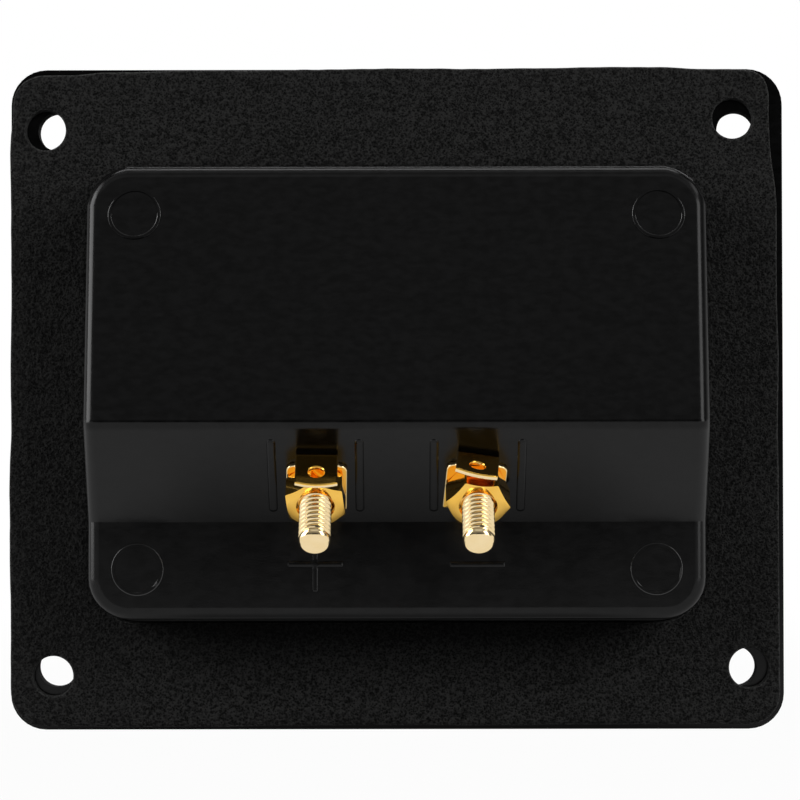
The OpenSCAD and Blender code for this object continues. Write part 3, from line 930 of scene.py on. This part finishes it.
def cap_form():
    base = COLLAR_U + FIT_GAP + BUSH_RIM_T + FIT_GAP
    bore_r = BUSH_R + FIT_GAP
    bore_end = base + BUSH_LEN - BUSH_RIM_T + FIT_GAP
    end = base + CAP_LEN
    flutes_low, flutes_high = base + FLUTE_END, end - FLUTE_END
    step = 360 / FLUTES

    def wall(u):
        rise = min(u - flutes_low, flutes_high - u)
        share = min(max(rise / FLUTE_FADE + 0.5, 0), 1)
        share = share * share * (3 - 2 * share)

        def ring(t):
            off = (math.degrees(t) + step / 2) % step - step / 2
            across = CAP_R * math.radians(off)
            cut = FLUTE_R * math.exp(-(abs(across) / FLUTE_WIDTH) ** 3)
            return CAP_R - cut * share, u
        return ring

    # Heights of the wall's rings, closest where the flutes fade out
    fade = [0.1 * i for i in range(6)]
    walls = [base + CAP_EASE, flutes_low - 0.4]
    walls += [flutes_low - 0.25 + rise for rise in fade]
    walls += [flutes_low + 1.5, (base + end) / 2, flutes_high - 1.5]
    walls += [flutes_high - 0.25 + rise for rise in fade]
    walls = [u for u in walls if u < end - CAP_END_R - 0.05]
    turns = [math.pi / 2 * i / 8 for i in range(9)]
    rings = [(bore_r, base), (CAP_R - CAP_EASE, base), (CAP_R - CAP_EASE_MID, base + CAP_EASE_MID)]
    rings += [wall(u) for u in walls]
    rings += [(CAP_R - CAP_END_R + CAP_END_R * math.cos(a),
               end - CAP_END_R + CAP_END_R * math.sin(a)) for a in turns]
    rings += [(MOUTH_R + CAP_EASE, end), (MOUTH_R + CAP_EASE_MID, end - CAP_EASE_MID),
              (MOUTH_R, end - CAP_EASE), (MOUTH_R, bore_end), (bore_r, bore_end)]
    return ring_stack(rings, even_angles(FLUTES * 16), closed=True)


WIRE_U = COLLAR_U + WIRE_GAP + WIRE_R

for side, set_up in SIDES.items():
    place = stud_place(side)
    post = add_piece(f"{side}_post_turned", post_form(), place, (PALE_GOLD_AND_EDGE_HIGHLIGHT,), "housing",
                     "gold_plate", f"{side}_post")
    bore_through(post, place @ Matrix.Translation((0, 0, -WIRE_U * MM)), WIRE_R, 4 * BARREL_R)
    nut_place = stud_place(side, set_up["nut_turn"]) @ Matrix.Translation((0, 0, TAB_T * MM))
    add_piece(f"{side}_hex_nut", nut_form(), nut_place, (GOLD,), "housing", "gold_plate",
              f"{side}_nut")
    tab_shift = Matrix.Translation((set_up["tab_shift"] * MM, 0, 0))
    # The lug's sides and the band just inside its edges and hole take the pale gold, a painted highlight
    tab = add_piece(f"{side}_lug", tab_form(set_up["lug_angle"], set_up["slant"]),
                    stud_place(side, set_up["tab_turn"]) @ tab_shift, (GOLD, PALE_GOLD_AND_EDGE_HIGHLIGHT),
                    "housing", "gold_plate", f"{side}_solder_tab")
    even_normals(tab.data, 40)
    front = place @ Matrix.Rotation(math.pi, 4, "X")
    tint, slot = (CAP_RED, "cap_red") if side == "positive" else (CAP_BLACK, "cap_black")
    add_piece(f"{side}_grip", cap_form(), front, (tint,), f"{side}_cap_body", slot, f"{side}_cap")
    bush = frame["nodes"][f"{side}_clamp_bush"]
    bush.data.materials.clear()
    bush.data.materials.append(GOLD)


# Polarity signs: low raised bars on the lower panel

SIGN_LEN = 7.0
SIGN_STROKE = 0.75
SIGN_H = 0.16
SIGN_SINK = 0.05
SIGN_ROUND = 0.25
SIGN_DROP = 0.7
SIGN_STEP = 0.28


def sign_form(upright):
    """A bar, crossed by a second one where upright is true."""
    a, b = SIGN_LEN / 2, SIGN_STROKE / 2
    if upright:
        corners = [(a, -b), (a, b), (b, b), (b, a), (-b, a), (-b, b),
                   (-a, b), (-a, -b), (-b, -b), (-b, -a), (b, -a), (b, -b)]
    else:
        corners = [(a, -b), (a, b), (-a, b), (-a, -b)]
    loop = []
    for k, corner in enumerate(corners):
        start, stop = Vector(corner), Vector(corners[(k + 1) % len(corners)])
        parts = max(2, round((stop - start).length / SIGN_STEP))
        loop += [tuple(start.lerp(stop, i / parts)) for i in range(parts)]
    drop = rounding(SIGN_ROUND)
    return thick_sheet([loop], (0.05, 0.13, SIGN_ROUND), [],
                       lambda x, y, depth: SIGN_H - drop(depth) * SIGN_DROP,
                       lambda x, y, depth: -SIGN_SINK)


add_piece("plus_sign", sign_form(True), rear_place(-10.25, STEP_DEPTH, -21.0), (ABS_BLACK,),
          "housing", "moulded_black")
add_piece("minus_sign", sign_form(False), rear_place(10.03, STEP_DEPTH, -21.05), (ABS_BLACK,),
          "housing", "moulded_black")


# Floor: a white table, dimmer in reflections than to the camera

def seen_rays(tree):
    """Whether a ray is the camera's, and whether it is that, a mirrored or a transmitted one."""
    path = tree.nodes.new("ShaderNodeLightPath")
    camera = total = path.outputs["Is Camera Ray"]
    for name in ("Is Glossy Ray", "Is Transmission Ray"):
        total = math_node(tree, "MAXIMUM", total, path.outputs[name])
    return camera, total


def split_node(tree, coords):
    node = tree.nodes.new("ShaderNodeSeparateXYZ")
    tree.links.new(coords, node.inputs[0])
    return node.outputs["X"], node.outputs["Y"], node.outputs["Z"]


def floor_material():
    mat, tree, shader, coords = new_material("white_table")
    links = tree.links
    grain = noise_node(tree, coords, 220, 3)
    links.new(ramp_node(tree, grain, [(0.3, grey(0.19)), (0.7, grey(0.21))]),
              shader.inputs["Base Color"])
    shader.inputs["Roughness"].default_value = 0.9
    shader.inputs["Specular IOR Level"].default_value = 0.1
    # The table glows a little less close to the part, so that a faint shadow stays
    reach = tree.nodes.new("ShaderNodeVectorMath")
    reach.operation = "LENGTH"
    links.new(coords, reach.inputs[0])
    lift = range_node(tree, reach.outputs["Value"], 0.97, 1.0, 0.08, 0.4)
    camera, seen = seen_rays(tree)
    # In reflections it darkens under the camera, and beneath the part and beyond it, where a painted shadow of the
    # part lies on the table
    x, y, _ = split_node(tree, coords)
    aside = math_node(tree, "ABSOLUTE", x)
    ahead = math_node(tree, "MULTIPLY_ADD", aside, 2.6, y)
    mirrored = range_node(tree, ahead, 0.03, 0.9, -0.42, -0.08)
    # A painted shadow of the part, widening to the sides, seen only in reflections
    wide = math_node(tree, "MAXIMUM", math_node(tree, "MULTIPLY_ADD", aside, 0.8, -0.02), 0.0)
    close = range_node(tree, math_node(tree, "SUBTRACT", y, wide), 1.0, 0.3, -0.026, -0.012)
    mirrored = math_node(tree, "MULTIPLY", mirrored, close)
    glow = tree.nodes.new("ShaderNodeEmission")
    links.new(mix_node(tree, camera, mirrored, 1.0), glow.inputs["Strength"])
    mix = tree.nodes.new("ShaderNodeMixShader")
    links.new(math_node(tree, "MULTIPLY", lift, seen), mix.inputs["Fac"])
    links.new(shader.outputs[0], mix.inputs[1])
    links.new(glow.outputs[0], mix.inputs[2])
    links.new(mix.outputs[0], tree.nodes["Material Output"].inputs["Surface"])
    return mat


def add_floor():
    mesh = bpy.data.meshes.new("floor")
    half = 4.0
    corners = [(-half, -half, 0), (half, -half, 0), (half, half, 0), (-half, half, 0)]
    mesh.from_pydata(corners, [], [(0, 1, 2, 3)])
    mesh.materials.append(floor_material())
    floor = bpy.data.objects.new("floor", mesh)
    floor.location = (0, 0, HOUSING_LOW.z * MM)
    bpy.context.scene.collection.objects.link(floor)


add_floor()


# World: white to the camera; in reflections white far behind the part and dim elsewhere

def add_world():
    world = bpy.data.worlds.new("studio")
    bpy.context.scene.world = world
    world.use_nodes = True
    tree = world.node_tree
    background = tree.nodes["Background"]
    coords = tree.nodes.new("ShaderNodeTexCoord").outputs["Generated"]
    x, behind, high = split_node(tree, coords)
    across = math_node(tree, "ABSOLUTE", x)
    # On the camera's side the room brightens upwards, with a dim card high in the middle
    near_side = range_node(tree, high, 0.025, 0.29, 0.1, 0.5)
    card = math_node(tree, "MULTIPLY", range_node(tree, high, 0.0, 1.0, 0.64, 0.7),
                     range_node(tree, high, 0.3, 0.0, 0.84, 0.9))
    card = math_node(tree, "MULTIPLY", card, range_node(tree, across, 1.0, 0.0, 0.3, 0.5))
    near_side = math_node(tree, "ADD", near_side, card)
    # On the far side it is bright low at both sides and straight behind the part
    far_side = range_node(tree, high, 0.16, 0.03, 0.2, 0.8)
    sides = math_node(tree, "MULTIPLY", range_node(tree, across, 0.0, 0.8, 0.55, 0.88),
                      range_node(tree, high, 1.0, 0.0, 0.05, 0.3))
    back = range_node(tree, behind, 0.0, 0.9, 0.93, 0.99)
    far_side = math_node(tree, "ADD", math_node(tree, "ADD", far_side, sides), back)
    room = mix_node(tree, range_node(tree, behind, 0.0, 1.0, -0.12, 0.12), near_side, far_side)
    camera, seen = seen_rays(tree)
    level = mix_node(tree, seen, 0.045, mix_node(tree, camera, room, 1.0))
    tree.links.new(level, background.inputs["Strength"])
    background.inputs["Color"].default_value = (1, 1, 1, 1)


add_world()


# Lamps: soft boxes, some only for matt surfaces and some only for reflections

def add_lamp(name, place, width, height, radiance, lights=True, shines=True):
    """A soft box turned to the part, which may light matt surfaces and show in glossy ones."""
    light = bpy.data.lights.new(name, "AREA")
    light.shape = "RECTANGLE"
    light.size, light.size_y = width, height
    light.energy = radiance * math.pi * width * height
    lamp = bpy.data.objects.new(name, light)
    lamp.location = place
    lamp.rotation_euler = (-Vector(place)).to_track_quat("-Z", "Y").to_euler()
    lamp.visible_camera = False
    lamp.visible_diffuse = lights
    lamp.visible_glossy = shines
    bpy.context.scene.collection.objects.link(lamp)


add_lamp("left_box", (-0.92, -0.2, 0.34), 0.64, 0.85, 5.5, lights=False)
add_lamp("right_box", (0.74, -0.6, 0.3), 0.42, 0.75, 3.6, lights=False)
add_lamp("left_corner_box", (-0.66, -0.08, 0.7), 0.5, 0.22, 2.2, lights=False)
add_lamp("right_corner_box", (0.66, -0.08, 0.7), 0.5, 0.22, 1.6, lights=False)
add_lamp("top_box", (0.0, -0.06, 0.95), 1.2, 0.2, 0.35)
add_lamp("back_box", (0.0, 0.28, 0.94), 0.8, 0.17, 3.4)
add_lamp("left_key_box", (-0.7, -0.6, 0.33), 0.45, 0.45, 6.0, shines=False)
add_lamp("right_key_box", (0.68, -0.62, 0.33), 0.45, 0.45, 7.6, shines=False)
add_lamp("front_box", (0.25, 0.95, 0.55), 0.8, 0.8, 2.0)


# Camera, at the photograph's place

CAMERA_PLACE = Vector((0.9633, -445.5674, -9.0272)) * MM
CAMERA_YAW, CAMERA_PITCH, CAMERA_ROLL = -0.0013, 0.0199, -0.0015
CAMERA_LENS = 154.71


def add_camera():
    level = math.cos(CAMERA_PITCH)
    forward = Vector((math.sin(CAMERA_YAW) * level, math.cos(CAMERA_YAW) * level,
                      math.sin(CAMERA_PITCH)))
    right = Vector((math.cos(CAMERA_YAW), -math.sin(CAMERA_YAW), 0))
    up = right.cross(forward)
    tilted_right = right * math.cos(CAMERA_ROLL) + up * math.sin(CAMERA_ROLL)
    tilted_up = up * math.cos(CAMERA_ROLL) - right * math.sin(CAMERA_ROLL)
    data = bpy.data.cameras.new("camera")
    data.sensor_width = 36.0
    data.sensor_fit = "HORIZONTAL"
    data.lens = CAMERA_LENS
    data.clip_start = 0.01
    camera = bpy.data.objects.new("camera", data)
    camera.matrix_world = axes_place(tilted_right, tilted_up, -forward, CAMERA_PLACE)
    bpy.context.scene.collection.objects.link(camera)
    bpy.context.scene.camera = camera


add_camera()
bpy.context.scene.view_settings.view_transform = "Standard"
